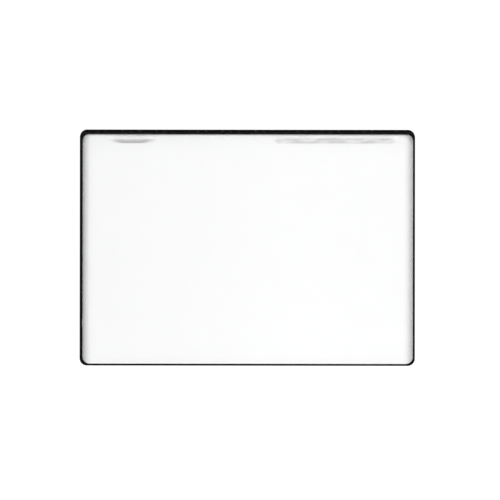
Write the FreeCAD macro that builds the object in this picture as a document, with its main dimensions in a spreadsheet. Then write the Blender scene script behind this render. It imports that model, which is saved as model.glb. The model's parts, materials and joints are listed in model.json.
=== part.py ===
import FreeCAD, Part
import math
import os
import re
from collections import namedtuple

import Sketcher
from FreeCAD import Placement, Rotation, Vector

# A hinged glass negative carrier for 5 x 7 inch sheet film, closed, lying on its lower leaf.
# Millimetres. X runs left to right, Y front to rear with the hinge at the rear, Z up from the
# lower leaf's outer face. "Inward" means from a leaf's outer face towards the film.

DRIVING_SIZES = [
    ("overall_width", "201.6", "left to right over the side walls"),
    ("overall_depth", "142", "front wall to the back of the hinge barrel"),
    ("leaf_height", "3.2", "one leaf, outer face to mating face"),
    ("film_gap", "0.2", "between the two mating faces: one sheet of film"),
    ("sheet_gauge", "0.4", "pressed steel of the frames"),
    ("corner_radius", "4.4", "outer corners of the closed carrier in plan"),
    ("bend_radius", "0.5", "outside of the bend between lip and wall"),
    ("lip_left", "1.66", "wall face to lip edge"),
    ("lip_right", "1.2", "wall face to lip edge"),
    ("lip_front", "1.1", "wall face to lip edge"),
    ("lip_rear", "0.95", "wall face to lip edge"),
    ("opening_radius", "4.2", "corners of the clear opening"),
    ("scallop_depth", "0.3", "orientation scallop in the left lip"),
    ("scallop_length", "6", "along the lip edge"),
    ("scallop_y", "-45.4", "centre of the scallop"),
    ("notch_length", "24", "finger notch, full lens over both leaves"),
    ("notch_height", "2", "finger notch, full lens over both leaves"),
    ("glass_thickness", "2.5", "each pane"),
    ("glass_gap", "0.12", "pane edge to frame wall"),
    ("glass_corner_radius", "5", "front corners, clear of the register tabs"),
    ("glass_chamfer", "0.4", "edge towards the film, seat of the wires"),
    ("glass_arris", "0.15", "edge towards the lip"),
    ("gasket_thickness", "0.3", "between lip and pane"),
    ("gasket_setback", "0.1", "gasket behind the lip edge"),
    ("gasket_gap", "0.11", "gasket to frame wall, clear of the inner bend"),
    ("wire_diameter", "0.3", "spring wires that keep the pane in"),
    ("groove_depth", "0.06", "wire groove in the frame wall"),
    ("side_wire_length", "120", "left and right wires"),
    ("rear_wire_length", "180", "rear wire"),
    ("front_wire_start", "16", "front wires stop either side of the notch"),
    ("front_wire_length", "74", "each front wire"),
    ("barrel_diameter", "1.6", "hinge knuckles, outside"),
    ("pin_diameter", "0.8", "hinge pin"),
    ("pin_clearance", "0.05", "radial, pin in knuckle"),
    ("pin_end_chamfer", "0.15", "both ends of the pin"),
    ("wall_to_axis", "0.9", "rear wall face to hinge axis"),
    ("strip_gauge", "0.35", "hinge strips"),
    ("strip_margin", "0.5", "outer face to the strip's far edge"),
    ("strip_relief", "0.95", "hinge axis to the strip edge beside the other leaf's knuckles"),
    ("knuckle_pitch", "10", "centre to centre, alternating leaves"),
    ("knuckle_count", "19", "both leaves together, an odd number"),
    ("knuckle_end_gap", "0.03", "taken off each end of a knuckle"),
    ("rivet_diameter", "0.8", "shank"),
    ("rivet_head_diameter", "1.4", "bevelled head outside the strip"),
    ("rivet_head_height", "0.25", "bevelled head"),
    ("rivet_inset", "1.6", "outer face to rivet centre"),
    ("rivet_pitch", "20", "along the strip"),
    ("rivet_count", "10", "each strip"),
    ("hinge_end_gap", "0.04", "hinge strip to hinge end piece"),
    ("hinge_end_trim", "0.4", "side wall face to the end piece's tip"),
    ("hinge_end_boss", "0.55", "boss round the pin end, radius"),
    ("pin_socket_depth", "2", "pin end inside the end piece"),
    ("boss_wall", "0.4", "boss beyond the pin end"),
    ("tab_thickness", "0.38", "register tab where it is soldered to the wall"),
    ("tab_clearance", "0.12", "register tab to the upper leaf's wall"),
    ("tab_reach", "1.4", "register tab above the upper mating face"),
    ("tab_lead", "0.3", "bevel at the tip of the tab"),
    ("tab_span", "40", "degrees of the corner covered"),
    ("tab_lift", "0.05", "tab above the gasket"),
    ("spacer_thickness", "0.15", "film stops and spacer shims"),
    ("shim_front", "-60", "front end of the spacer shims"),
    ("shim_rear", "-52", "rear end of the spacer shims"),
    ("shim_edge", "0.05", "shim inside the edges of the wall"),
    ("stop_front", "62.8", "both film stops: the edge the film meets"),
    ("stop_rear", "67.4", "both film stops"),
    ("stop_front_radius", "4", "both film stops"),
    ("stop_rear_radius", "0.3", "both film stops"),
    ("short_stop_left", "-84.2", "film stop on the left"),
    ("short_stop_right", "-54.7", "film stop on the left"),
    ("long_stop_left", "14.8", "film stop on the right"),
    ("long_stop_right", "90.2", "film stop on the right"),
]

SIDES = ("left", "right", "front", "rear")


def inset_outline(name, base, distance):
    """Sheet rows of an outline drawn a distance inside the outline called base."""
    signs = {"left": "+", "right": "-", "front": "+", "rear": "-"}
    rows = [(f"{name}_{side}", f"={base}_{side} {signs[side]} {distance}") for side in SIDES]
    for corner in ("front_radius", "rear_radius"):
        rows.append((f"{name}_{corner}", f"={base}_{corner} - {distance}"))
    return rows


def derived_sizes():
    """Sheet rows worked out from the driving sizes."""
    rows = [
        ("stack_height", "=2 * leaf_height + film_gap"),
        ("axis_y", "=overall_depth / 2 - barrel_diameter / 2"),
        ("axis_z", "=leaf_height + film_gap / 2"),
        ("hinge_length", "=knuckle_pitch * knuckle_count"),
        ("hinge_end_x", "=hinge_length / 2 + hinge_end_gap"),
        ("overall_left", "=-overall_width / 2"),
        ("overall_right", "=overall_width / 2"),
        ("overall_front", "=-overall_depth / 2"),
        ("overall_rear", "=overall_depth / 2"),
        ("overall_front_radius", "=corner_radius"),
        ("overall_rear_radius", "=corner_radius"),
        ("frame_left", "=overall_left"),
        ("frame_right", "=overall_right"),
        ("frame_front", "=overall_front"),
        ("frame_rear", "=axis_y - wall_to_axis"),
        ("frame_middle_y", "=(frame_front + frame_rear) / 2"),
        ("frame_front_radius", "=corner_radius"),
        ("frame_rear_radius", "=corner_radius - (overall_rear - frame_rear)"),
        ("opening_left", "=frame_left + lip_left"),
        ("opening_right", "=frame_right - lip_right"),
        ("opening_front", "=frame_front + lip_front"),
        ("opening_rear", "=frame_rear - lip_rear"),
        ("opening_front_radius", "=opening_radius"),
        ("opening_rear_radius", "=opening_radius"),
    ]
    rows += inset_outline("cavity", "frame", "sheet_gauge")
    rows += inset_outline("pane", "cavity", "glass_gap")
    rows += inset_outline("gasket_outer", "cavity", "gasket_gap")
    rows += inset_outline("gasket_inner", "opening", "(-gasket_setback)")
    rows += [
        ("wire_radius", "=wire_diameter / 2"),
        ("wire_inset", "=wire_radius - groove_depth"),
        ("wire_depth", "=glass_chamfer + glass_gap - wire_inset - sqrt(2) * wire_radius"),
        ("scallop_radius", "=(scallop_length ^ 2 / 4 + scallop_depth ^ 2) / (2 * scallop_depth)"),
        ("notch_radius", "=(notch_length ^ 2 + notch_height ^ 2) / (4 * notch_height)"),
        ("corner_x", "=frame_right - frame_front_radius"),
        ("corner_y", "=frame_front + frame_front_radius"),
        ("tab_inner_radius", "=cavity_front_radius - tab_thickness"),
        ("tab_free_radius", "=cavity_front_radius - tab_clearance"),
        ("tab_bottom", "=sheet_gauge + gasket_thickness + tab_lift"),
        ("tab_top", "=leaf_height + film_gap + tab_reach"),
    ]
    for name in ("short_stop", "long_stop"):
        for edge in ("front", "rear", "front_radius", "rear_radius"):
            rows.append((f"{name}_{edge}", f"=stop_{edge}"))
    return rows


# Rows of the sheet that override what inset_outline gives.
OVERRIDES = {
    "pane_front_radius": "=glass_corner_radius",
    "gasket_inner_left": "=opening_left - scallop_depth - gasket_setback",
}

# How each leaf is built: heights start at its outer face and run inward.
Leaf = namedtuple("Leaf", "name outer inward_sign inward_is_up")
LOWER = Leaf("lower", "0", "+", True)
UPPER = Leaf("upper", "stack_height", "-", False)

TOLERANCE = 1e-6


def fill_sheet(doc):
    """The spreadsheet with every size, one alias per row."""
    sheet = doc.addObject("Spreadsheet::Sheet", "Sizes")
    rows = [(alias, value, note) for alias, value, note in DRIVING_SIZES]
    rows += [(alias, OVERRIDES.get(alias, formula), "") for alias, formula in derived_sizes()]
    for number, (alias, content, note) in enumerate(rows, start=1):
        sheet.set(f"A{number}", alias)
        sheet.set(f"B{number}", content)
        sheet.set(f"C{number}", note)
        sheet.setAlias(f"B{number}", alias)
    doc.recompute()
    return sheet


doc = FreeCAD.newDocument("negative_carrier")
sizes = fill_sheet(doc)
ALIASES = {alias for alias, _, _ in DRIVING_SIZES} | {alias for alias, _ in derived_sizes()}


def from_sheet(expression):
    """The expression as other objects write it, with every size read from the sheet."""
    def qualify(word):
        return "Sizes." + word.group() if word.group() in ALIASES else word.group()
    return re.sub(r"[a-z_]+", qualify, expression)


def value(expression):
    """Present value of an expression over the sizes."""
    return float(sizes.evalExpression(from_sheet(expression)))


def bind(item, path, expression):
    """Let a property follow an expression over the sizes."""
    item.setExpression(path, from_sheet(expression))


def inward(leaf, distance):
    """Height that lies a distance inward of the leaf's outer face."""
    return f"{leaf.outer} {leaf.inward_sign} ({distance})"


def new_body(name):
    """An empty body named after its sub-part."""
    body = doc.addObject("PartDesign::Body", name)
    body.Label = name
    body.AllowCompound = True
    return body


def origin_feature(body, role):
    """One of the body's own origin planes or axes."""
    return next(item for item in body.Origin.OriginFeatures if item.Role == role)


def new_sketch(body, name, plane, offset="0"):
    """A sketch on an origin plane, moved along the plane's normal."""
    sketch = body.newObject("Sketcher::SketchObject", name)
    sketch.AttachmentSupport = [(origin_feature(body, plane), "")]
    sketch.MapMode = "FlatFace"
    bind(sketch, "AttachmentOffset.Base.z", offset)
    return sketch


def constrain(sketch, kind, *references, size=None):
    """One constraint; a size makes it a dimension that follows the sheet."""
    if size is None:
        sketch.addConstraint(Sketcher.Constraint(kind, *references))
        return
    index = sketch.addConstraint(Sketcher.Constraint(kind, *references, value(size)))
    sketch.setExpression(f"Constraints[{index}]", from_sheet(size))


def locate(sketch, geometry, point, x, y):
    """Hold a point of the sketch at its distances from the origin."""
    for axis, kind, distance in ((-2, "DistanceX", x), (-1, "DistanceY", y)):
        if distance == "0":
            constrain(sketch, "PointOnObject", geometry, point, axis)
        else:
            constrain(sketch, kind, -1, 1, geometry, point, size=distance)


def draw_circle(sketch, x, y, radius):
    """A circle with its centre and radius held."""
    centre = Vector(value(x), value(y), 0)
    circle = sketch.addGeometry(Part.Circle(centre, Vector(0, 0, 1), value(radius)))
    locate(sketch, circle, 3, x, y)
    constrain(sketch, "Radius", circle, size=radius)


def draw_polygon(sketch, corners):
    """A closed outline of straight lines through the corners."""
    points = [Vector(value(x), value(y), 0) for x, y in corners]
    lines = []
    for start, end in zip(points, points[1:] + points[:1]):
        lines.append(sketch.addGeometry(Part.LineSegment(start, end)))
    for index, line in enumerate(lines):
        constrain(sketch, "Coincident", lines[index - 1], 2, line, 1)
        locate(sketch, line, 1, *corners[index])


def draw_rectangle(sketch, left, right, low, high):
    """A rectangle between two positions across and two up."""
    draw_polygon(sketch, [(left, low), (right, low), (right, high), (left, high)])


def draw_outline(sketch, name):
    """The rounded rectangle whose sides and radii the sheet lists under this name."""
    left, right, front, rear = (value(f"{name}_{side}") for side in SIDES)
    front_radius = value(f"{name}_front_radius")
    rear_radius = value(f"{name}_rear_radius")
    corners = [
        (left + front_radius, front + front_radius, front_radius, math.pi),
        (right - front_radius, front + front_radius, front_radius, 1.5 * math.pi),
        (right - rear_radius, rear - rear_radius, rear_radius, 0),
        (left + rear_radius, rear - rear_radius, rear_radius, 0.5 * math.pi),
    ]
    arcs = []
    for x, y, radius, start in corners:
        circle = Part.Circle(Vector(x, y, 0), Vector(0, 0, 1), radius)
        arc = Part.ArcOfCircle(circle, start, start + 0.5 * math.pi)
        arcs.append((sketch.addGeometry(arc), arc))
    lines = []
    for index, (_, arc) in enumerate(arcs):
        next_arc = arcs[(index + 1) % len(arcs)][1]
        lines.append(sketch.addGeometry(Part.LineSegment(arc.EndPoint, next_arc.StartPoint)))
    for index, line in enumerate(lines):
        constrain(sketch, "Tangent", arcs[index][0], 2, line, 1)
        constrain(sketch, "Tangent", line, 2, arcs[(index + 1) % len(arcs)][0], 1)
    front_line, right_line, rear_line, left_line = lines
    for line, direction in ((front_line, "Horizontal"), (rear_line, "Horizontal"),
                            (left_line, "Vertical"), (right_line, "Vertical")):
        constrain(sketch, direction, line)
    for line, side, kind in ((left_line, "left", "DistanceX"), (right_line, "right", "DistanceX"),
                             (front_line, "front", "DistanceY"), (rear_line, "rear", "DistanceY")):
        constrain(sketch, kind, -1, 1, line, 1, size=f"{name}_{side}")
    for (arc, _), end in zip(arcs, ("front", "front", "rear", "rear")):
        constrain(sketch, "Radius", arc, size=f"{name}_{end}_radius")


def extrude(body, kind, sketch, name, length, along_normal=True, symmetric=False):
    """A Pad or Pocket of the sketch, along its normal, against it, or both ways."""
    feature = body.newObject("PartDesign::" + kind, name)
    feature.Profile = sketch
    bind(feature, "Length", length)
    feature.Reversed = along_normal == (kind == "Pocket")
    if symmetric:
        feature.SideType = "Symmetric"
    return feature


def dress_edges(body, kind, name, height, path, size):
    """A Fillet or Chamfer of every edge that lies wholly at one height."""
    doc.recompute()
    base = body.Tip
    level = value(height)
    edges = []
    for number, edge in enumerate(base.Shape.Edges, start=1):
        if all(abs(vertex.Z - level) < TOLERANCE for vertex in edge.Vertexes):
            edges.append(f"Edge{number}")
    feature = body.newObject("PartDesign::" + kind, name)
    feature.Base = (base, edges)
    bind(feature, path, size)
    return feature


def repeat_along_x(body, name, originals, extent, count):
    """Copies of some features in a straight row."""
    row = body.newObject("PartDesign::LinearPattern", name)
    row.Originals = originals
    row.Direction = (origin_feature(body, "X_Axis"), [""])
    row.Mode = "Extent"
    bind(row, "Length", extent)
    bind(row, "Occurrences", count)
    body.Tip = row
    return row


def cut_rivet_holes(body, leaf, depth, along_normal):
    """The row of rivet holes, starting where strip and rear wall meet."""
    sketch = new_sketch(body, "RivetHoleOutline", "XZ_Plane", "-frame_rear")
    first_x = "-rivet_pitch * (rivet_count - 1) / 2"
    draw_circle(sketch, first_x, inward(leaf, "rivet_inset"), "rivet_diameter / 2")
    hole = extrude(body, "Pocket", sketch, "RivetHole", depth, along_normal)
    repeat_along_x(body, "RivetHoles", [hole], "rivet_pitch * (rivet_count - 1)", "rivet_count")


def run_wires(body, leaf, kind):
    """The five straight wire runs round a pane, as wires (Pad) or as grooves (Pocket)."""
    height = inward(leaf, "leaf_height - wire_depth")
    sides = new_sketch(body, "SideWireOutline", "XZ_Plane", "-frame_middle_y")
    draw_circle(sides, "cavity_left + wire_inset", height, "wire_radius")
    draw_circle(sides, "cavity_right - wire_inset", height, "wire_radius")
    extrude(body, kind, sides, "SideWires", "side_wire_length", symmetric=True)

    rear = new_sketch(body, "RearWireOutline", "YZ_Plane")
    draw_circle(rear, "cavity_rear - wire_inset", height, "wire_radius")
    extrude(body, kind, rear, "RearWire", "rear_wire_length", symmetric=True)

    for sign, hand in (("", "Right"), ("-", "Left")):
        front = new_sketch(body, f"{hand}FrontWireOutline", "YZ_Plane", f"{sign}front_wire_start")
        draw_circle(front, "cavity_front + wire_inset", height, "wire_radius")
        extrude(body, kind, front, f"{hand}FrontWire", "front_wire_length",
                along_normal=hand == "Right")


def make_frame(leaf):
    """A pressed tray: a lip round the opening, a wall up to the mating face, a notch in front."""
    body = new_body(f"{leaf.name}_frame")
    shell = new_sketch(body, "FrameOutline", "XY_Plane", leaf.outer)
    draw_outline(shell, "frame")
    extrude(body, "Pad", shell, "Shell", "leaf_height", along_normal=leaf.inward_is_up)
    dress_edges(body, "Fillet", "OuterBend", leaf.outer, "Radius", "bend_radius")

    cavity = new_sketch(body, "CavityOutline", "XY_Plane", inward(leaf, "sheet_gauge"))
    draw_outline(cavity, "cavity")
    extrude(body, "Pocket", cavity, "Cavity", "leaf_height", along_normal=leaf.inward_is_up)
    dress_edges(body, "Fillet", "InnerBend", inward(leaf, "sheet_gauge"), "Radius",
                "bend_radius - sheet_gauge")

    opening = new_sketch(body, "OpeningOutline", "XY_Plane", leaf.outer)
    draw_outline(opening, "opening")
    extrude(body, "Pocket", opening, "Opening", "2 * sheet_gauge", along_normal=leaf.inward_is_up)

    scallop = new_sketch(body, "ScallopOutline", "XY_Plane", leaf.outer)
    draw_circle(scallop, "opening_left - scallop_depth + scallop_radius", "scallop_y",
                "scallop_radius")
    extrude(body, "Pocket", scallop, "Scallop", "sheet_gauge", along_normal=leaf.inward_is_up)

    notch = new_sketch(body, "NotchOutline", "XZ_Plane", "-frame_front")
    notch_bottom = inward(leaf, "leaf_height + film_gap / 2 - notch_height / 2")
    draw_circle(notch, "0", f"{notch_bottom} {leaf.inward_sign} notch_radius", "notch_radius")
    extrude(body, "Pocket", notch, "Notch", "2 * sheet_gauge", along_normal=False)

    run_wires(body, leaf, "Pocket")
    cut_rivet_holes(body, leaf, "2 * sheet_gauge", along_normal=True)


def make_pane(leaf):
    """A flat glass plate with its mating face flush with the frame's."""
    body = new_body(f"{leaf.name}_glass")
    seat = inward(leaf, "leaf_height - glass_thickness")
    outline = new_sketch(body, "PaneOutline", "XY_Plane", seat)
    draw_outline(outline, "pane")
    extrude(body, "Pad", outline, "Plate", "glass_thickness", along_normal=leaf.inward_is_up)
    mating = inward(leaf, "leaf_height")
    dress_edges(body, "Chamfer", "FilmSideChamfer", mating, "Size", "glass_chamfer")
    dress_edges(body, "Chamfer", "LipSideArris", seat, "Size", "glass_arris")


def make_gasket(leaf):
    """A flat ring between lip and pane."""
    body = new_body(f"{leaf.name}_gasket")
    ring = new_sketch(body, "GasketOutline", "XY_Plane", inward(leaf, "sheet_gauge"))
    draw_outline(ring, "gasket_outer")
    draw_outline(ring, "gasket_inner")
    extrude(body, "Pad", ring, "Ring", "gasket_thickness", along_normal=leaf.inward_is_up)


def make_wires(leaf):
    """Spring wires wedged between the pane's chamfer and the grooves in the wall."""
    run_wires(new_body(f"{leaf.name}_retaining_wires"), leaf, "Pad")


def make_hinge_leaf(leaf, first_knuckle, knuckles):
    """Half of the piano hinge: a strip on the rear wall and every other knuckle."""
    body = new_body(f"hinge_leaf_{leaf.name}")
    relief = inward(leaf, "axis_z - strip_relief")
    strip = new_sketch(body, "StripOutline", "XZ_Plane", "-frame_rear")
    draw_rectangle(strip, "-hinge_length / 2", "hinge_length / 2",
                   inward(leaf, "strip_margin"), relief)
    extrude(body, "Pad", strip, "Strip", "strip_gauge", along_normal=False)

    start = f"-hinge_length / 2 + knuckle_end_gap + {first_knuckle} * knuckle_pitch"
    web = new_sketch(body, "WebOutline", "YZ_Plane", start)
    draw_rectangle(web, "frame_rear", "frame_rear + strip_gauge", relief, "axis_z")
    web_pad = extrude(body, "Pad", web, "Web", "knuckle_pitch - 2 * knuckle_end_gap")

    knuckle = new_sketch(body, "KnuckleOutline", "YZ_Plane", start)
    draw_circle(knuckle, "axis_y", "axis_z", "barrel_diameter / 2")
    draw_circle(knuckle, "axis_y", "axis_z", "pin_diameter / 2 + pin_clearance")
    barrel = extrude(body, "Pad", knuckle, "Knuckle", "knuckle_pitch - 2 * knuckle_end_gap")
    repeat_along_x(body, "Knuckles", [web_pad, barrel],
                   f"2 * knuckle_pitch * ({knuckles} - 1)", knuckles)
    cut_rivet_holes(body, leaf, "2 * strip_gauge", along_normal=False)


def make_rivets(leaf):
    """The row of rivets through hinge strip and rear wall, flush inside, headed outside."""
    body = new_body(f"hinge_rivets_{leaf.name}")
    profile = new_sketch(body, "RivetProfile", "XY_Plane")
    grip = "strip_gauge + sheet_gauge"
    draw_polygon(profile, [
        ("0", f"-({grip})"),
        ("rivet_diameter / 2", f"-({grip})"),
        ("rivet_diameter / 2", "0"),
        ("rivet_head_diameter / 2", "0"),
        ("rivet_head_diameter / 2", "rivet_head_height / 3"),
        ("rivet_head_diameter / 4", "rivet_head_height"),
        ("0", "rivet_head_height"),
    ])
    rivet = body.newObject("PartDesign::Revolution", "Rivet")
    rivet.Profile = profile
    rivet.ReferenceAxis = (profile, ["V_Axis"])
    repeat_along_x(body, "Rivets", [rivet], "rivet_pitch * (rivet_count - 1)", "rivet_count")
    bind(body, "Placement.Base.x", "-rivet_pitch * (rivet_count - 1) / 2")
    bind(body, "Placement.Base.y", "frame_rear + strip_gauge")
    bind(body, "Placement.Base.z", inward(leaf, "rivet_inset"))


def make_hinge_pin():
    """The pin through all the knuckles, its ends in the two hinge end pieces."""
    body = new_body("hinge_pin")
    profile = new_sketch(body, "PinProfile", "XY_Plane")
    half_length = "(hinge_end_x + pin_socket_depth)"
    draw_polygon(profile, [
        (f"-{half_length}", "0"),
        (f"-{half_length}", "pin_diameter / 2 - pin_end_chamfer"),
        (f"-{half_length} + pin_end_chamfer", "pin_diameter / 2"),
        (f"{half_length} - pin_end_chamfer", "pin_diameter / 2"),
        (half_length, "pin_diameter / 2 - pin_end_chamfer"),
        (half_length, "0"),
    ])
    pin = body.newObject("PartDesign::Revolution", "Pin")
    pin.Profile = profile
    pin.ReferenceAxis = (profile, ["H_Axis"])
    bind(body, "Placement.Base.y", "axis_y")
    bind(body, "Placement.Base.z", "axis_z")


def make_hinge_end(hand, sign):
    """The piece that rounds off the rear corner and holds one end of the pin."""
    body = new_body(f"hinge_end_{hand}")
    outward = hand == "right"
    block = new_sketch(body, "BlockOutline", "XY_Plane")
    draw_rectangle(block, f"{sign}hinge_end_x", f"{sign}(overall_right - hinge_end_trim)",
                   "overall_rear - corner_radius", "overall_rear")
    extrude(body, "Pad", block, "Block", "leaf_height")

    frame = new_sketch(body, "FrameRelief", "XY_Plane")
    draw_outline(frame, "frame")
    extrude(body, "Pocket", frame, "FrameSide", "leaf_height")

    corner = new_sketch(body, "CornerRelief", "XY_Plane")
    draw_outline(corner, "overall")
    draw_rectangle(corner, "2 * overall_left", "2 * overall_right",
                   "2 * overall_front", "2 * overall_rear")
    extrude(body, "Pocket", corner, "RoundedCorner", "leaf_height")

    boss = new_sketch(body, "BossOutline", "YZ_Plane", f"{sign}hinge_end_x")
    draw_circle(boss, "axis_y", "axis_z", "hinge_end_boss")
    extrude(body, "Pad", boss, "Boss", "pin_socket_depth + boss_wall", along_normal=outward)

    socket = new_sketch(body, "SocketOutline", "YZ_Plane", f"{sign}hinge_end_x")
    draw_circle(socket, "axis_y", "axis_z", "pin_diameter / 2")
    extrude(body, "Pocket", socket, "Socket", "pin_socket_depth", along_normal=outward)


def make_register_tab(hand, sign, yaw):
    """A curved tab in a front corner; its free end enters the upper leaf as it closes."""
    body = new_body(f"register_tab_{hand}")
    profile = new_sketch(body, "TabProfile", "XZ_Plane")
    draw_polygon(profile, [
        ("tab_inner_radius", "tab_bottom"),
        ("cavity_front_radius", "tab_bottom"),
        ("cavity_front_radius", "leaf_height"),
        ("tab_free_radius", "leaf_height"),
        ("tab_free_radius", "tab_top - tab_lead"),
        ("(tab_inner_radius + tab_free_radius) / 2", "tab_top"),
        ("tab_inner_radius", "tab_top"),
    ])
    tab = body.newObject("PartDesign::Revolution", "Tab")
    tab.Profile = profile
    tab.ReferenceAxis = (profile, ["V_Axis"])
    tab.Midplane = True
    bind(tab, "Angle", "tab_span")
    body.Placement = Placement(Vector(), Rotation(Vector(0, 0, 1), yaw))
    bind(body, "Placement.Base.x", f"{sign}corner_x")
    bind(body, "Placement.Base.y", "corner_y")


def make_spacer_shim(hand, sign):
    """A strip of foil on top of a side wall that keeps the leaves a film apart."""
    body = new_body(f"spacer_shim_{hand}")
    outline = new_sketch(body, "ShimOutline", "XY_Plane", "leaf_height")
    draw_rectangle(outline, f"{sign}(cavity_right + shim_edge)", f"{sign}(frame_right - shim_edge)",
                   "shim_front", "shim_rear")
    extrude(body, "Pad", outline, "Shim", "spacer_thickness")


def make_film_stop(name):
    """A thin plate on the lower glass that the rear edge of the film is pushed against."""
    body = new_body(f"film_stop_{name}")
    outline = new_sketch(body, "StopOutline", "XY_Plane", "leaf_height")
    draw_outline(outline, f"{name}_stop")
    extrude(body, "Pad", outline, "Stop", "spacer_thickness")


def check_and_write():
    """Refuse to write anything broken, then write one STEP file per sub-part."""
    doc.recompute()
    for item in doc.Objects:
        if "Invalid" in item.State or "Error" in item.State:
            raise RuntimeError(f"{item.Name} ({item.Label}) did not recompute: {item.State}")
    bodies = [item for item in doc.Objects if item.TypeId == "PartDesign::Body"]
    os.makedirs("parts", exist_ok=True)
    for body in bodies:
        if body.Shape.isNull() or not body.Shape.isValid():
            raise RuntimeError(f"{body.Label} has no valid shape")
        body.Shape.exportStep(f"parts/{body.Label}.step")
        box = body.Shape.BoundBox
        print(f"{body.Label:24s} solids {len(body.Shape.Solids):3d} volume {body.Shape.Volume:10.3f}"
              f"  x {box.XMin:8.2f} {box.XMax:8.2f}  y {box.YMin:7.2f} {box.YMax:7.2f}"
              f"  z {box.ZMin:5.2f} {box.ZMax:5.2f}")


for each_leaf in (LOWER, UPPER):
    make_frame(each_leaf)
    make_pane(each_leaf)
    make_gasket(each_leaf)
    make_wires(each_leaf)
    make_rivets(each_leaf)
make_hinge_leaf(LOWER, "0", "(knuckle_count + 1) / 2")
make_hinge_leaf(UPPER, "1", "(knuckle_count - 1) / 2")
make_hinge_pin()
for each_hand, each_sign, each_yaw in (("right", "", -45), ("left", "-", -135)):
    make_hinge_end(each_hand, each_sign)
    make_register_tab(each_hand, each_sign, each_yaw)
    make_spacer_shim(each_hand, each_sign)
make_film_stop("short")
make_film_stop("long")
check_and_write()
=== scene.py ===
import json
import math
from collections import namedtuple

import bmesh
import bpy
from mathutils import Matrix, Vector


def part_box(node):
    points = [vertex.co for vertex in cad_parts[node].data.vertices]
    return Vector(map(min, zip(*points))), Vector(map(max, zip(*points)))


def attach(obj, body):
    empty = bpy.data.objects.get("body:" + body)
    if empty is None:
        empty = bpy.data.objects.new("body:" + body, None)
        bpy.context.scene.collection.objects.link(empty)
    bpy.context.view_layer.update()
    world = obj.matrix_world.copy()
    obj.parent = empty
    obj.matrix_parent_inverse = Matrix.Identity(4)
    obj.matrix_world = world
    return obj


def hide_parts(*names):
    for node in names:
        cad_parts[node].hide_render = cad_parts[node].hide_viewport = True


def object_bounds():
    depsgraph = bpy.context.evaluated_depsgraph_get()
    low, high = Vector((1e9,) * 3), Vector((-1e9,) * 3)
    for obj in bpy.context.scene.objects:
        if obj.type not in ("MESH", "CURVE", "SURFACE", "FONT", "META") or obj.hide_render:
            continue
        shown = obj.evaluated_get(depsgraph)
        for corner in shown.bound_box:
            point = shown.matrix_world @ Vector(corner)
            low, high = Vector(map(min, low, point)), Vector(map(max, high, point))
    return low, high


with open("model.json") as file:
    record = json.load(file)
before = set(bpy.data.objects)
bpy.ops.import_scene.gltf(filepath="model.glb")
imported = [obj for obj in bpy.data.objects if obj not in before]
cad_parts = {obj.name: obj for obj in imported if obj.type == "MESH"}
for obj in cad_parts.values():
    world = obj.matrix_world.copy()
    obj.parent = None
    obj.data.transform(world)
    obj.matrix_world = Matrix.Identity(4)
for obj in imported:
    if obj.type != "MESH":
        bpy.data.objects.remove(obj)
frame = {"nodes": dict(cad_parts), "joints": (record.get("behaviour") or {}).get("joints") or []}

# A hinged glass negative carrier, closed, on white. Metres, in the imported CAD's own frame:
# x runs left to right, y front to rear with the hinge at the rear, z up.

CAD_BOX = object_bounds()
NODES = frame["nodes"]
MM = 0.001
X, Y, Z = range(3)

# Lips of the upper frame, from the outside of the wall to the edge of the window.
LIP_LEFT = 1.66 * MM
LIP_RIGHT = 1.2 * MM
LIP_REAR = 0.95 * MM

# Piano hinge. The relief is the distance from the axis to a strip's edge beside the other
# leaf's knuckles. A knuckle's sheet is rolled clockwise round the pin from ROLL_START to
# ROLL_END, in degrees, with a facet for every ROLL_STEP.
HINGE_AXIS = Vector(frame["joints"][0]["pos_m"])
BARREL_RADIUS = 0.8 * MM
STRIP_GAUGE = 0.35 * MM
STRIP_RELIEF = 0.95 * MM
KNUCKLE_COUNT = 19
KNUCKLE_END_GAP = 0.03 * MM
ROLL_START = 180
ROLL_END = -125
ROLL_STEP = 7.5

RIVET_COUNT = 10
RIVET_SEGMENTS = 24
RIVET_SHANK_RADIUS = 0.4 * MM
RIVET_HEAD_RADIUS = 0.7 * MM


# --- material building blocks -------------------------------------------------------------

BEVEL_SAMPLES = 6


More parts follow.
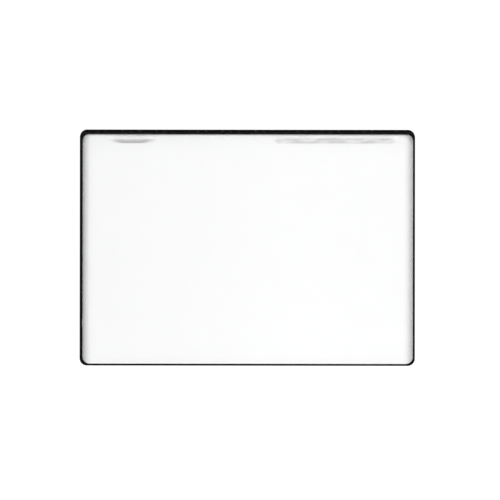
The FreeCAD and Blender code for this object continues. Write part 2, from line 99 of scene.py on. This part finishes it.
class Tree:
    """A material's node tree with one Principled shader, and short ways to add nodes to it."""

    def __init__(self, name):
        self.material = bpy.data.materials.new(name)
        self.material.use_nodes = True
        self.nodes = self.material.node_tree.nodes
        self.links = self.material.node_tree.links
        self.shader = self.nodes["Principled BSDF"]
        self.output = self.nodes["Material Output"]
        self.coordinates = self.nodes.new("ShaderNodeTexCoord")
        self.place = self.coordinates.outputs["Object"]

    def link(self, source, target):
        """Joins an output to an input, or sets the input where source is a plain value."""
        if isinstance(source, bpy.types.NodeSocket):
            self.links.new(source, target)
        else:
            target.default_value = source

    def set(self, **values):
        """Plain values or sockets for the Principled shader's inputs."""
        for name, value in values.items():
            self.link(value, self.shader.inputs[name.replace("_", " ")])

    def math(self, operation, first, second=0.0):
        """One calculation with one or two numbers."""
        node = self.nodes.new("ShaderNodeMath")
        node.operation = operation
        for value, socket in zip((first, second), node.inputs):
            self.link(value, socket)
        return node.outputs[0]

    def product(self, first, *others):
        """Several numbers multiplied."""
        for other in others:
            first = self.math("MULTIPLY", first, other)
        return first

    def spread(self, value, low, high, to_low=0.0, to_high=1.0, smooth=False):
        """The value's range low to high drawn out to to_low to to_high, clamped."""
        node = self.nodes.new("ShaderNodeMapRange")
        if smooth:
            node.interpolation_type = "SMOOTHSTEP"
        self.link(value, node.inputs["Value"])
        for name, number in (("From Min", low), ("From Max", high),
                             ("To Min", to_low), ("To Max", to_high)):
            self.link(number, node.inputs[name])
        return node.outputs["Result"]

    def mix(self, share, first, second):
        """A colour between two: the first where share is 0, the second where it is 1."""
        node = self.nodes.new("ShaderNodeMix")
        node.data_type = "RGBA"
        self.link(share, node.inputs["Factor"])
        self.link(first, node.inputs[6])
        self.link(second, node.inputs[7])
        return node.outputs[2]

    def stretch(self, scale):
        """Object coordinates multiplied per axis, so that a texture runs along one of them."""
        node = self.nodes.new("ShaderNodeVectorMath")
        node.operation = "MULTIPLY"
        self.link(self.place, node.inputs[0])
        node.inputs[1].default_value = scale
        return node.outputs[0]

    def noise(self, scale, detail=3.0, roughness=0.5, place=None):
        """Noise around the middle of 0 to 1; scale is about how many waves it has in a metre."""
        node = self.nodes.new("ShaderNodeTexNoise")
        self.link(place or self.place, node.inputs["Vector"])
        node.inputs["Scale"].default_value = scale
        node.inputs["Detail"].default_value = detail
        node.inputs["Roughness"].default_value = roughness
        return node.outputs["Fac"]

    def bump(self, height, distance, strength):
        """Relief on the whole surface: distance is how deep a height of 1 is."""
        node = self.nodes.new("ShaderNodeBump")
        node.inputs["Strength"].default_value = strength
        node.inputs["Distance"].default_value = distance
        self.link(height, node.inputs["Height"])
        self.link(node.outputs["Normal"], self.shader.inputs["Normal"])

    def edges(self, radius):
        """0 on flat faces, rising to 1 on the outer edges, by how far a bevel of this radius
        would turn the surface."""
        bevel = self.nodes.new("ShaderNodeBevel")
        bevel.samples = BEVEL_SAMPLES
        bevel.inputs["Radius"].default_value = radius
        geometry = self.nodes.new("ShaderNodeNewGeometry")
        dot = self.nodes.new("ShaderNodeVectorMath")
        dot.operation = "DOT_PRODUCT"
        self.link(bevel.outputs["Normal"], dot.inputs[0])
        self.link(geometry.outputs["Normal"], dot.inputs[1])
        return self.spread(dot.outputs["Value"], 0.98, 0.80)

    def part(self, vector, axis):
        """A vector's share along one axis."""
        split = self.nodes.new("ShaderNodeSeparateXYZ")
        self.link(vector, split.inputs[0])
        return split.outputs[axis]

    def place_part(self, axis):
        """Where the surface is along one axis."""
        return self.part(self.place, axis)

    def normal_part(self, axis):
        """The surface normal's share along one axis, in the object's own directions."""
        return self.part(self.coordinates.outputs["Normal"], axis)


def grey(level):
    """A neutral colour."""
    return (level, level, level, 1)


# --- metal, foil and rubber ---------------------------------------------------------------

# Black lacquer: its colours, one of them a lighter grey on the upright faces that is painted sheen as
# much as handling film, its gloss, how much of a scratch shows, and how much rougher it gets where it
# is handled.
BLACK_PAINT = grey(0.0015)
HANDLING_FILM_AND_SHEEN = grey(0.016)
SCRATCHED_PAINT = grey(0.07)
BARE_STEEL = (0.50, 0.50, 0.51, 1)
LACQUER_GLOSS = 0.10
SCRATCH_SHARE = 0.7
HANDLED_ROUGHNESS = 0.16


def lacquer(name, wear_width, wear_amount, crown=None):
    """Black satin lacquer on steel. The flat faces are clean and black. The upright ones are
    lightened: a grey film in patches, painted sheen as well as handling, hairline scratches along the
    walls, and bare metal where edges rub. crown gives the share of bare metal on a rounded top that is
    rubbed as well."""
    tree = Tree(name)
    upright = tree.spread(tree.math("ABSOLUTE", tree.normal_part(Z)), 0.80, 0.30)
    patches = tree.noise(180, detail=6, roughness=0.65)
    film = tree.noise(75, detail=9, roughness=0.78, place=tree.stretch((1.0, 1.0, 2.5)))
    handled_film_and_sheen = tree.product(upright, tree.spread(film, 0.42, 0.70))
    hairlines = tree.noise(1.0, detail=2, place=tree.stretch((30, 30, 4200)))
    scratch_places = tree.noise(45, detail=3)
    scratched = tree.product(tree.spread(hairlines, 0.60, 0.66),
                             tree.spread(scratch_places, 0.50, 0.62), upright, SCRATCH_SHARE)
    worn = tree.product(tree.edges(wear_width), tree.spread(patches, 0.38, 0.58), upright, wear_amount)
    if crown:
        rubbed = tree.product(crown(tree), tree.spread(film, 0.36, 0.60))
        worn = tree.math("MAXIMUM", worn, rubbed)
    # Painted sheen and handling film: the upright faces are lightened to grey in patches.
    paint = tree.mix(handled_film_and_sheen, BLACK_PAINT, HANDLING_FILM_AND_SHEEN)
    paint = tree.mix(scratched, paint, SCRATCHED_PAINT)
    tree.set(Base_Color=tree.mix(worn, paint, BARE_STEEL), Metallic=worn)
    clean_roughness = tree.spread(patches, 0.3, 0.7, 0.36, 0.48)
    tree.set(Roughness=tree.math("ADD", clean_roughness, tree.product(handled_film_and_sheen, HANDLED_ROUGHNESS)))
    tree.set(Specular_IOR_Level=LACQUER_GLOSS)
    peel = tree.math("ADD", tree.noise(1400), tree.product(patches, 2.0))
    tree.bump(tree.math("SUBTRACT", peel, scratched), 0.012 * MM, 0.5)
    return tree.material


def barrel_crown(tree):
    """The back of the hinge barrel, which everything the carrier slides along rubs."""
    back = HINGE_AXIS.y + BARREL_RADIUS
    return tree.spread(tree.place_part(Y), back - 0.12 * MM, back - 0.01 * MM, 0.0, 0.75)


def rivet_crown(tree):
    """The tops of the rivet heads."""
    return tree.spread(tree.normal_part(Y), 0.90, 0.985, 0.0, 0.95)


def drawn_steel(name, along):
    """Bright spring steel with draw lines along one axis."""
    tree = Tree(name)
    across = [60.0 if axis == along else 3000.0 for axis in (X, Y, Z)]
    lines = tree.noise(1.0, detail=4, place=tree.stretch(across))
    tarnish = tree.noise(120, detail=5, roughness=0.7)
    bright = (0.56, 0.56, 0.58, 1)
    dull = (0.30, 0.28, 0.26, 1)
    tree.set(Base_Color=tree.mix(tree.spread(tarnish, 0.5, 0.75), bright, dull), Metallic=1.0)
    tree.set(Roughness=tree.spread(lines, 0.3, 0.7, 0.22, 0.42))
    tree.bump(lines, 0.004 * MM, 0.4)
    return tree.material


def brass_foil():
    """Rolled brass, dulled in patches."""
    tree = Tree("brass_foil")
    tarnish = tree.noise(300, detail=5, roughness=0.7)
    bright = (0.72, 0.55, 0.26, 1)
    dull = (0.36, 0.24, 0.11, 1)
    tree.set(Base_Color=tree.mix(tree.spread(tarnish, 0.4, 0.75), bright, dull), Metallic=1.0)
    tree.set(Roughness=tree.spread(tarnish, 0.3, 0.7, 0.25, 0.5))
    tree.bump(tree.noise(1800, place=tree.stretch((1, 0.1, 1))), 0.003 * MM, 0.4)
    return tree.material


def gasket_rubber():
    """Matt black rubber with a pale bloom."""
    tree = Tree("gasket_rubber")
    bloom = tree.noise(500, detail=6, roughness=0.7)
    tree.set(Base_Color=tree.mix(tree.spread(bloom, 0.5, 0.8), grey(0.004), grey(0.02)))
    tree.set(Roughness=tree.spread(bloom, 0.3, 0.7, 0.75, 0.92), Specular_IOR_Level=0.3)
    tree.bump(tree.noise(2500), 0.01 * MM, 0.5)
    return tree.material


# --- glass --------------------------------------------------------------------------------

# Painted shade beside a lip, darkening the pane's colour where a rail's shadow would fall on what lies
# below:
# how much light it takes at the lip, how far it reaches, and how sharply it ends. In a rear corner the
# distances from both lips are added up.
PaintedShadeBand = namedtuple("PaintedShadeBand", "depth reach steepness")
LEFT_LIP_SHADE = PaintedShadeBand(0.61, 2.3 * MM, 1.5)
RIGHT_LIP_SHADE = PaintedShadeBand(0.46, 2.7 * MM, 1.8)
REAR_LIP_SHADE = PaintedShadeBand(0.93, 0.72 * MM, 1.8)
WIDE_REAR_LIP_SHADE = PaintedShadeBand(0.055, 5.5 * MM, 1.2)
LEFT_CORNER_SHADE = PaintedShadeBand(0.34, 4.9 * MM, 3.0)
RIGHT_CORNER_SHADE = PaintedShadeBand(0.45, 5.1 * MM, 2.6)

# Tone of the whole pane at its left edge, which is painted shade for light that falls off to the left,
# and over its rear half, a little darker. It is full from CLEAR_FROM to the right of the middle, and at
# the front edge.
LEFT_FALLOFF_SHADE = 0.957
REAR_TONE = 0.993
CLEAR_FROM = 45 * MM

GLASS_IOR = 1.52
GROUND_ROUGHNESS = 0.45


def beside_lip(tree, distance, shade_band):
    """1 less the painted shade's depth at the lip, back to 1 a few reaches away from it."""
    away = tree.math("DIVIDE", tree.math("MAXIMUM", distance, 0.0), shade_band.reach)
    fall = tree.math("EXPONENT", tree.product(tree.math("POWER", away, shade_band.steepness), -1.0))
    return tree.math("SUBTRACT", 1.0, tree.product(fall, shade_band.depth))


def painted_rim_shade(tree):
    """Painted shade: 1 over most of a pane, falling off in the few millimetres beside the side and rear
    lips and in the rear corners, where the lips' shadows are painted in, with a slow darkening over the
    whole pane towards the left, which is painted light falloff, and over the rear half."""
    low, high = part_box("upper_frame")
    middle = (low + high) / 2
    x = tree.place_part(X)
    y = tree.place_part(Y)
    from_left = tree.math("SUBTRACT", x, low.x + LIP_LEFT)
    from_right = tree.math("SUBTRACT", high.x - LIP_RIGHT, x)
    from_rear = tree.math("SUBTRACT", high.y - LIP_REAR, y)
    return tree.product(
        beside_lip(tree, from_left, LEFT_LIP_SHADE),
        beside_lip(tree, from_right, RIGHT_LIP_SHADE),
        beside_lip(tree, from_rear, REAR_LIP_SHADE),
        beside_lip(tree, from_rear, WIDE_REAR_LIP_SHADE),
        beside_lip(tree, tree.math("ADD", from_left, from_rear), LEFT_CORNER_SHADE),
        beside_lip(tree, tree.math("ADD", from_right, from_rear), RIGHT_CORNER_SHADE),
        # Painted light falloff: darker towards the left, and a little darker over the rear half.
        tree.spread(x, low.x, middle.x + CLEAR_FROM, LEFT_FALLOFF_SHADE, 1.0, smooth=True),
        tree.spread(y, low.y, middle.y, 1.0, REAR_TONE),
    )


def pane_glass(name, tint, passes, haze, etched):
    """A glass plate with clear faces, wipe marks and ground edges. haze is the roughness that
    the wipe marks reach, and passes is what is left of a shadow ray, which goes straight through.
    The etched plate has a coarser grain and carries the painted rim shade, a darkening of its colour
    beside the lips and towards the left and rear."""
    tree = Tree(name)
    ground = tree.spread(tree.math("ABSOLUTE", tree.normal_part(Z)), 0.97, 0.90)
    wiping = tree.noise(14, detail=6, roughness=0.6, place=tree.stretch((1.0, 3.0, 1.0)))
    smears = tree.spread(wiping, 0.52, 0.80, 0.0, haze)
    tree.set(Base_Color=tint, Transmission_Weight=1.0, IOR=GLASS_IOR)
    # Painted shade: the etched plate's colour is darkened beside the side and rear lips, in the rear
    # corners, and towards the left and rear.
    if etched:
        tree.set(Base_Color=tree.mix(painted_rim_shade(tree), grey(0.0), tint))
    tree.set(Roughness=tree.math("MAXIMUM", smears, tree.product(ground, GROUND_ROUGHNESS)))
    grain_scale, grain_depth = (2600, 0.0012 * MM) if etched else (900, 0.0002 * MM)
    tree.bump(tree.noise(grain_scale, detail=2), grain_depth, 0.3)
    straight = tree.nodes.new("ShaderNodeBsdfTransparent")
    straight.inputs["Color"].default_value = passes
    ray = tree.nodes.new("ShaderNodeLightPath")
    choice = tree.nodes.new("ShaderNodeMixShader")
    tree.link(ray.outputs["Is Shadow Ray"], choice.inputs[0])
    tree.link(tree.shader.outputs[0], choice.inputs[1])
    tree.link(straight.outputs[0], choice.inputs[2])
    tree.link(choice.outputs[0], tree.output.inputs["Surface"])
    return tree.material


# --- film stops ---------------------------------------------------------------------------

# How a film stop looks: the two grey levels of its mottled body, the level and width of the painted
# shadow behind its front edge, the lengths over which that painted shadow thins out at its ends, how
# far they draw back from the stop's front edge, and how much the blotches take away from the painted
# shadow.
StopLook = namedtuple("StopLook", "dull pale dark width left_taper right_taper lift patchiness")
STOP_LOOKS = {
    "short": StopLook(dull=0.73, pale=0.84, dark=0.42, width=2.1 * MM, left_taper=12 * MM,
                      right_taper=12 * MM, lift=1.6 * MM, patchiness=0.2),
    "long": StopLook(dull=0.77, pale=0.88, dark=0.53, width=3.1 * MM, left_taper=7 * MM,
                     right_taper=6.5 * MM, lift=0.8 * MM, patchiness=0.6),
}

# The body's grey level at both ends, the shares of its width and strength that the painted edge shadow
# keeps
# there, and the blur of its edges: the rear one fades from full at 0.9 mm short of the
# shadow's width to nothing at 0.8 mm past it.
END_LEVEL = 0.90
EDGE_SHADOW_END_WIDTH = 0.45
EDGE_SHADOW_END_STRENGTH = 0.15
EDGE_SHADOW_FRONT_BLUR = 0.5 * MM
EDGE_SHADOW_REAR_BLUR = (0.8 * MM, -0.9 * MM)


def stop_film(name, look):
    """Frosted polyester, nearly as pale as the pane, mottled, with a painted shadow, a grey band,
    behind the edge that meets the film. The painted shadow thins out and draws back from the edge at
    both ends."""
    tree = Tree(f"stop_film_{name}")
    low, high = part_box(f"film_stop_{name}")
    x = tree.place_part(X)
    y = tree.place_part(Y)
    mottle = tree.noise(420, detail=6, roughness=0.75)
    blotches = tree.noise(110, detail=4, place=tree.stretch((1.0, 4.0, 1.0)))
    from_left = tree.spread(x, low.x, low.x + look.left_taper)
    from_right = tree.spread(x, high.x, high.x - look.right_taper)
    middle = tree.math("MINIMUM", from_left, from_right)
    width = tree.spread(middle, 0.0, 1.0, EDGE_SHADOW_END_WIDTH * look.width, look.width, smooth=True)
    drawn_back = tree.spread(middle, 1.0, 0.0, 0.0, look.lift, smooth=True)
    behind_front = tree.math("SUBTRACT", tree.math("SUBTRACT", y, low.y), drawn_back)
    past_width = tree.math("SUBTRACT", behind_front, width)
    # Painted shadow: a grey band just behind the stop's front edge, thinning out at its ends.
    painted_edge_shadow = tree.product(
        tree.spread(past_width, *EDGE_SHADOW_REAR_BLUR, smooth=True),
        tree.spread(behind_front, -EDGE_SHADOW_FRONT_BLUR, 0.0),
        tree.spread(middle, 0.0, 0.7, EDGE_SHADOW_END_STRENGTH, 1.0, smooth=True),
        tree.spread(blotches, 0.38, 0.56, 1.0 - look.patchiness, 1.0),
    )
    body = tree.mix(tree.spread(mottle, 0.35, 0.65), grey(look.dull), grey(look.pale))
    body = tree.mix(tree.spread(middle, 0.0, 0.5), grey(END_LEVEL), body)
    tree.set(Base_Color=tree.mix(painted_edge_shadow, body, grey(look.dark)))
    tree.set(Roughness=tree.spread(mottle, 0.3, 0.7, 0.55, 0.8))
    tree.bump(tree.noise(3000), 0.004 * MM, 0.6)
    return tree.material


# --- materials on the CAD's pieces --------------------------------------------------------

def dress(material, *nodes):
    """Gives CAD nodes a material of their own."""
    for node in nodes:
        mesh = NODES[node].data
        mesh.materials.clear()
        mesh.materials.append(material)


def dress_cad():
    """Every CAD node that stays visible gets its material."""
    frame_black = lacquer("frame_lacquer", wear_width=0.16 * MM, wear_amount=0.8)
    hinge_end_black = lacquer("hinge_end_lacquer", wear_width=0.16 * MM, wear_amount=0.9)
    dress(frame_black, "lower_frame", "upper_frame")
    dress(hinge_end_black, "hinge_end_left", "hinge_end_right")
    dress(gasket_rubber(), "lower_gasket", "upper_gasket")
    dress(drawn_steel("wire_steel", X), "lower_retaining_wires", "upper_retaining_wires", "hinge_pin")
    dress(drawn_steel("tab_steel", Z), "register_tab_left", "register_tab_right")
    dress(brass_foil(), "spacer_shim_left", "spacer_shim_right")
    dress(pane_glass("clear_glass", tint=(0.991, 0.995, 0.993, 1), passes=(0.97, 0.98, 0.975, 1),
                     haze=0.05, etched=False), "lower_glass")
    dress(pane_glass("etched_glass", tint=(0.993, 0.994, 0.993, 1), passes=(0.97, 0.975, 0.97, 1),
                     haze=0.07, etched=True), "upper_glass")
    for name, look in STOP_LOOKS.items():
        dress(stop_film(name, look), f"film_stop_{name}")


# --- hinge pieces -------------------------------------------------------------------------

# One knuckle in section, for the lower leaf: the strip's sheet comes up from below, moves over
# to the barrel's left side, goes round the pin clockwise and ends short of itself.
# Distances from the hinge axis in millimetres.
WEB_OUTER = [(-0.90, -1.10), (-0.90, -0.50), (-0.88, -0.28), (-0.83, -0.12)]
WEB_INNER = [(-0.48, -0.14), (-0.53, -0.30), (-0.55, -0.48), (-0.55, -1.10)]

# A domed rivet head in section: radius, and height above the strip, in millimetres.
RIVET_DOME = [(0.67, 0.0), (0.70, 0.03), (0.68, 0.08), (0.60, 0.15), (0.45, 0.21), (0.24, 0.245)]

# Faces that meet at more than this many degrees are shaded with a sharp edge.
SHARP_ANGLE = 35


def finish_mesh(name, shape, material, body, slot, *replaced):
    """Turns a bmesh into a piece on a body that stands for CAD nodes."""
    bmesh.ops.recalc_face_normals(shape, faces=shape.faces)
    mesh = bpy.data.meshes.new(name)
    shape.to_mesh(mesh)
    shape.free()
    for face in mesh.polygons:
        face.use_smooth = True
    mesh.set_sharp_from_angle(angle=math.radians(SHARP_ANGLE))
    mesh.materials.append(material)
    piece = bpy.data.objects.new(name, mesh)
    bpy.context.scene.collection.objects.link(piece)
    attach(piece, body)
    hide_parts(*replaced)


def prism(shape, outline, start, end):
    """A closed prism along x with the same outline, given in y and z, at both ends."""
    first, last = ([shape.verts.new((x, y, z)) for y, z in outline] for x in (start, end))
    shape.faces.new(first)
    shape.faces.new(list(reversed(last)))
    for index, vertex in enumerate(first):
        shape.faces.new((vertex, first[index - 1], last[index - 1], last[index]))


def roll(radius, start, end):
    """Points round the hinge axis, in y and z offsets, from one angle to another in degrees."""
    count = round(abs(end - start) / ROLL_STEP)
    angles = [math.radians(start + (end - start) * index / count) for index in range(count + 1)]
    return [(radius * math.cos(angle), radius * math.sin(angle)) for angle in angles]


def knuckle_outline(up):
    """A rolled knuckle's section in y and z; up is 1 for the lower leaf, -1 for the upper."""
    outer = [(y * MM, z * MM) for y, z in WEB_OUTER] + roll(BARREL_RADIUS, ROLL_START, ROLL_END)
    inner = roll(BARREL_RADIUS - STRIP_GAUGE, ROLL_END, ROLL_START)
    inner += [(y * MM, z * MM) for y, z in WEB_INNER]
    return [(HINGE_AXIS.y + y, HINGE_AXIS.z + up * z) for y, z in outer + inner]


def ring(centre, radius):
    """Points round a rivet's centre, in x and z."""
    x, z = centre
    angles = [2 * math.pi * index / RIVET_SEGMENTS for index in range(RIVET_SEGMENTS)]
    return [(x + radius * math.cos(angle), z + radius * math.sin(angle)) for angle in angles]


def rivet_centres(leaf):
    """Where the rivets of one leaf are, in x and z."""
    low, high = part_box(f"hinge_rivets_{leaf}")
    first = low.x + RIVET_HEAD_RADIUS
    pitch = (high.x - low.x - 2 * RIVET_HEAD_RADIUS) / (RIVET_COUNT - 1)
    return [(first + pitch * index, (low.z + high.z) / 2) for index in range(RIVET_COUNT)]


def punched_strip(shape, low, high, hole_centres):
    """The flat of a hinge leaf: a plate between two corners with a row of round holes."""
    loops = [[(low.x, low.z), (high.x, low.z), (high.x, high.z), (low.x, high.z)]]
    loops += [ring(centre, RIVET_SHANK_RADIUS) for centre in hole_centres]
    edges = []
    for loop in loops:
        corners = [shape.verts.new((x, low.y, z)) for x, z in loop]
        edges += [shape.edges.new((corners[index - 1], corner)) for index, corner in enumerate(corners)]
    filled = bmesh.ops.triangle_fill(shape, use_beauty=True, use_dissolve=False, edges=edges)
    faces = [item for item in filled["geom"] if isinstance(item, bmesh.types.BMFace)]
    back = bmesh.ops.extrude_face_region(shape, geom=faces)
    moved = [item for item in back["geom"] if isinstance(item, bmesh.types.BMVert)]
    bmesh.ops.translate(shape, verts=moved, vec=(0, high.y - low.y, 0))


def make_hinge_leaf(leaf, up, first_knuckle, material):
    """One leaf of the piano hinge, bent from a single strip of sheet."""
    low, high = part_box(f"hinge_leaf_{leaf}")
    strip_edges = sorted((low.z if up > 0 else high.z, HINGE_AXIS.z - up * STRIP_RELIEF))
    shape = bmesh.new()
    punched_strip(shape, Vector((low.x, low.y, strip_edges[0])),
                  Vector((high.x, low.y + STRIP_GAUGE, strip_edges[1])), rivet_centres(leaf))
    pitch = (high.x - low.x) / KNUCKLE_COUNT
    for index in range(first_knuckle, KNUCKLE_COUNT, 2):
        start = low.x + pitch * index + KNUCKLE_END_GAP
        prism(shape, knuckle_outline(up), start, start + pitch - 2 * KNUCKLE_END_GAP)
    finish_mesh(f"rolled_hinge_{leaf}", shape, material, f"{leaf}_leaf", "hinge_lacquer",
                f"hinge_leaf_{leaf}")


def make_rivets(leaf, material):
    """Domed rivets through hinge strip and rear wall."""
    low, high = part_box(f"hinge_rivets_{leaf}")
    strip_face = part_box(f"hinge_leaf_{leaf}")[0].y + STRIP_GAUGE
    section = [(RIVET_SHANK_RADIUS, low.y), (RIVET_SHANK_RADIUS, strip_face)]
    section += [(radius * MM, strip_face + height * MM) for radius, height in RIVET_DOME]
    shape = bmesh.new()
    for centre in rivet_centres(leaf):
        rings = [[shape.verts.new((x, y, z)) for x, z in ring(centre, radius)] for radius, y in section]
        for near, far in zip(rings, rings[1:]):
            for index in range(RIVET_SEGMENTS):
                shape.faces.new((near[index - 1], near[index], far[index], far[index - 1]))
        shape.faces.new(rings[0])
        tip = shape.verts.new((centre[0], high.y, centre[1]))
        for index in range(RIVET_SEGMENTS):
            shape.faces.new((rings[-1][index - 1], rings[-1][index], tip))
    finish_mesh(f"domed_rivets_{leaf}", shape, material, f"{leaf}_leaf", "hinge_lacquer",
                f"hinge_rivets_{leaf}")


def make_hinge():
    """Both hinge leaves with their knuckles taking turns, and both rows of rivets."""
    leaf_black = lacquer("hinge_lacquer", wear_width=0.14 * MM, wear_amount=1.0, crown=barrel_crown)
    rivet_black = lacquer("rivet_lacquer", wear_width=0.14 * MM, wear_amount=1.0, crown=rivet_crown)
    for leaf, up, first_knuckle in (("lower", 1, 0), ("upper", -1, 1)):
        make_hinge_leaf(leaf, up, first_knuckle, leaf_black)
        make_rivets(leaf, rivet_black)


# --- room ---------------------------------------------------------------------------------

# The floor, a hair below the carrier so that the two don't coincide.
FLOOR_SIZE = 6.0
FLOOR_DROP = 0.05 * MM
FLOOR_GLOW = 1.0


def floor_paper():
    """Paper whose white is mostly its own glow, which keeps it even."""
    tree = Tree("floor_paper")
    tone = tree.noise(3, detail=2)
    tree.set(Base_Color=tree.mix(tree.spread(tone, 0.3, 0.7), grey(0.095), grey(0.105)))
    tree.set(Roughness=0.9, Specular_IOR_Level=0.1)
    tree.set(Emission_Color=grey(1.0), Emission_Strength=FLOOR_GLOW)
    tree.bump(tree.noise(900, detail=4), 0.02 * MM, 0.15)
    return tree.material


def make_floor():
    """The plain floor."""
    bpy.ops.mesh.primitive_plane_add(size=FLOOR_SIZE, location=(0, 0, -FLOOR_DROP))
    floor = bpy.context.object
    floor.name = "floor"
    floor.data.materials.append(floor_paper())


# Two lamps overhead, one to each side of the carrier: their height, the stretch they cover
# in x, their length in y, and their power.
LAMP_HEIGHT = 2.0
LAMP_NEAR = 0.9
LAMP_FAR = 1.5
LAMP_DEPTH = 1.2
LAMP_POWER = 14


def make_strip_light(name, side):
    """One lamp: a flat, soft strip of light that faces down. side is 1 for right, -1 for left."""
    data = bpy.data.lights.new(name, "AREA")
    data.shape = "RECTANGLE"
    data.size = LAMP_FAR - LAMP_NEAR
    data.size_y = LAMP_DEPTH
    data.energy = LAMP_POWER
    light = bpy.data.objects.new(name, data)
    light.location = (side * (LAMP_NEAR + LAMP_FAR) / 2, 0, LAMP_HEIGHT)
    bpy.context.scene.collection.objects.link(light)


# Brightness of the room by the sine of the elevation: a bright band under a dark ceiling, which
# is what keeps flat black lacquer black when it is seen from straight above.
ROOM_TONES = [(0.0, 0.50), (0.30, 0.50), (0.62, 0.55), (0.74, 1.25), (0.86, 1.25), (0.93, 0.20)]
ROOM_STRENGTH = 1.1


def make_world():
    """The room that the carrier mirrors, as a colour ramp from floor to ceiling."""
    world = bpy.data.worlds.new("studio")
    bpy.context.scene.world = world
    world.use_nodes = True
    nodes = world.node_tree.nodes
    links = world.node_tree.links
    background = nodes["Background"]
    place = nodes.new("ShaderNodeTexCoord")
    split = nodes.new("ShaderNodeSeparateXYZ")
    ramp = nodes.new("ShaderNodeValToRGB")
    links.new(place.outputs["Generated"], split.inputs[0])
    links.new(split.outputs["Z"], ramp.inputs[0])
    steps = ramp.color_ramp.elements
    steps.remove(steps[1])
    steps[0].position = ROOM_TONES[0][0]
    for position, _ in ROOM_TONES[1:]:
        steps.new(position)
    for step, (_, tone) in zip(steps, ROOM_TONES):
        step.color = grey(tone)
    links.new(ramp.outputs[0], background.inputs["Color"])
    background.inputs["Strength"].default_value = ROOM_STRENGTH


# The view from straight above. FRAME_WIDTH is what the picture takes in at the height of the
# carrier's top, AIM_OFFSET where it looks from the carrier's middle, and CAMERA_ROLL, in
# degrees, turns the carrier a little clockwise in it.
FRAME_WIDTH = 300.6 * MM
AIM_OFFSET = Vector((1.6, -1.42)) * MM
CAMERA_ROLL = 0.08
CAMERA_DISTANCE = 4.0
SENSOR_WIDTH = 36.0
VIEW_END = 50.0


def make_camera():
    """The camera, over the carrier and looking down."""
    low, high = CAD_BOX
    data = bpy.data.cameras.new("camera")
    data.sensor_width = SENSOR_WIDTH
    data.lens = CAMERA_DISTANCE * SENSOR_WIDTH / FRAME_WIDTH
    data.clip_end = VIEW_END
    camera = bpy.data.objects.new("camera", data)
    middle = (Vector(low) + Vector(high)) / 2
    camera.location = (middle.x + AIM_OFFSET.x, middle.y + AIM_OFFSET.y, high[Z] + CAMERA_DISTANCE)
    camera.rotation_euler = (0, 0, math.radians(CAMERA_ROLL))
    bpy.context.scene.collection.objects.link(camera)
    bpy.context.scene.camera = camera


dress_cad()
make_hinge()
make_floor()
make_strip_light("strip_left", -1)
make_strip_light("strip_right", 1)
make_world()
make_camera()
bpy.context.scene.view_settings.view_transform = "Standard"
